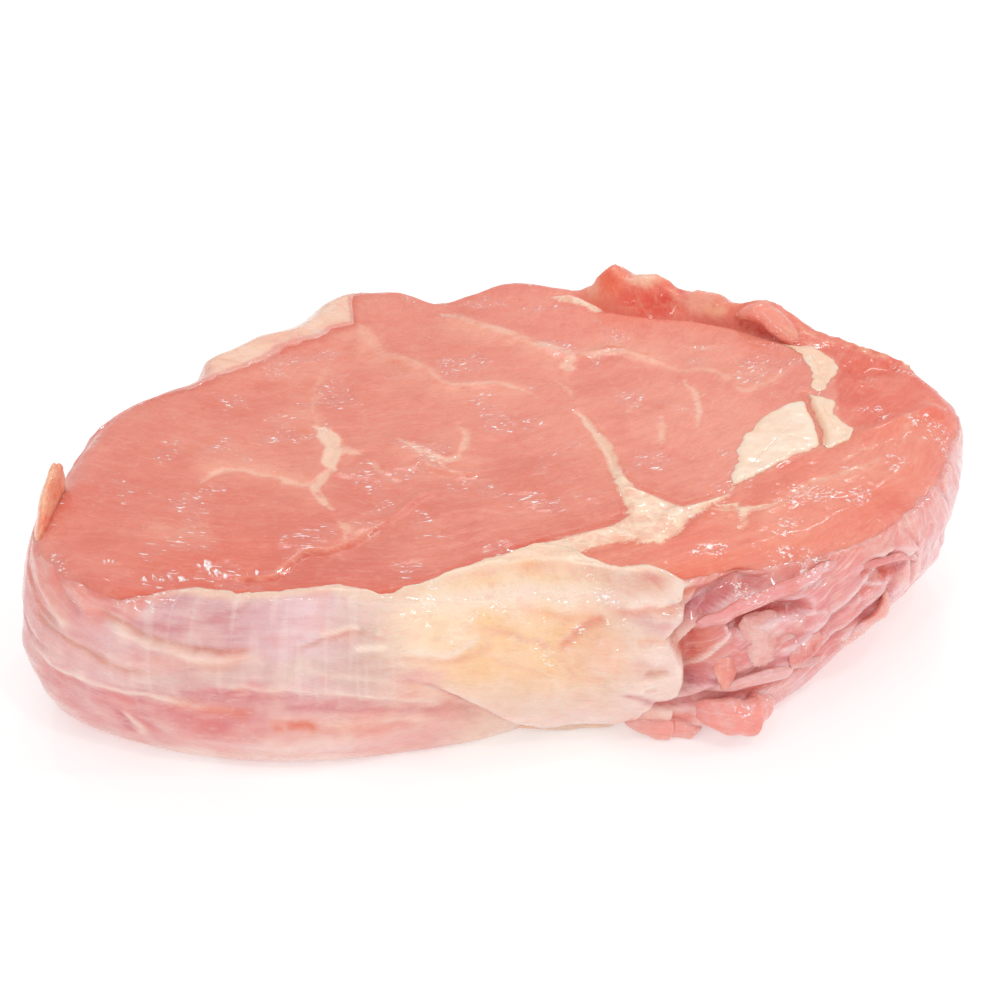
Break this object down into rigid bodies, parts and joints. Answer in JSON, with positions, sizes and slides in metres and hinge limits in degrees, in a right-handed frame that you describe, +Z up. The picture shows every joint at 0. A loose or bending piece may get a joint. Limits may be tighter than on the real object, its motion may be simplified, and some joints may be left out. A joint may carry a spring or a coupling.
{
  "type": "raw veal entrecote",
  "caption": "Thick raw veal rib-eye slice with flat cut faces, a bulging side wall, a rounded fat pad, folded cap muscle and a torn flap, lying on its lower cut face",
  "frame": {"origin": "on the ground, below the middle of the slice's bounding box", "axes": "+X along the slice's length, towards the cap muscle; +Y towards the back, away from the fat pad; +Z up, through the slice's thickness"},
  "size_m": [0.1604, 0.1126, 0.0385],
  "materials": {
    "veal": null
  },
  "bodies": {
    "root": {"entrecote": "veal"}
  },
  "joints": []
}
